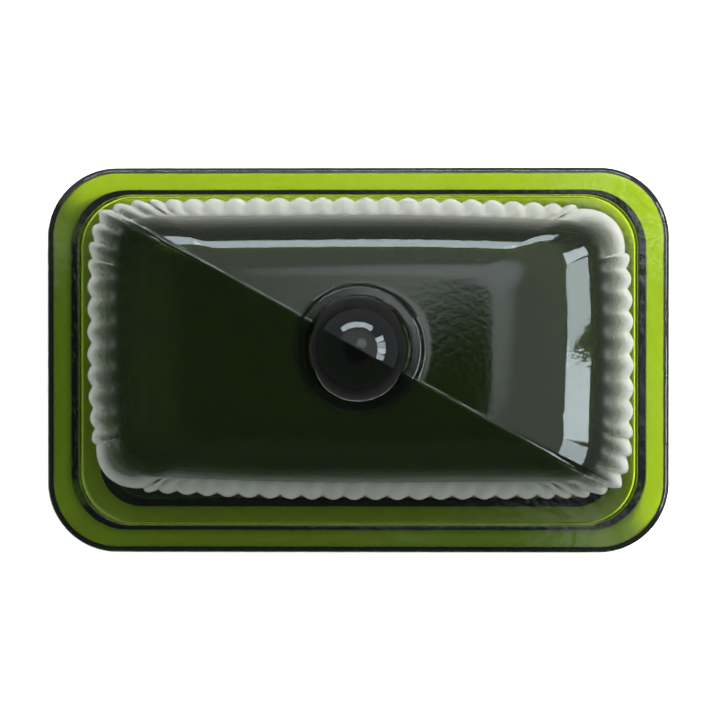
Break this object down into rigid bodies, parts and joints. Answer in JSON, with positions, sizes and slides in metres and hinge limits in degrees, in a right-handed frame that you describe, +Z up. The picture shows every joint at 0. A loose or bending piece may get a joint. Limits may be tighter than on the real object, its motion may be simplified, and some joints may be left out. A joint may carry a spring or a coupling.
{
  "type": "covered butter dish",
  "caption": "Rectangular covered dish in green pressed glass: a flanged tray with a foot ring, and a ribbed dome lid with a ball knob that lifts off.",
  "frame": {"origin": "on the table, under the middle of the tray", "axes": "+X along the dish's length, +Y across it, +Z up through the knob"},
  "size_m": [0.1864, 0.1154, 0.0899],
  "materials": {
    "green_glass": "gloss"
  },
  "bodies": {
    "tray": {"tray": "green_glass"},
    "lid": {"lid": "green_glass"}
  },
  "joints": [
    {"name": "lid_lift", "type": "slide", "parent": "tray", "child": "lid", "axis": [0, 0, 1], "range_m": [0, 0.12]}
  ]
}
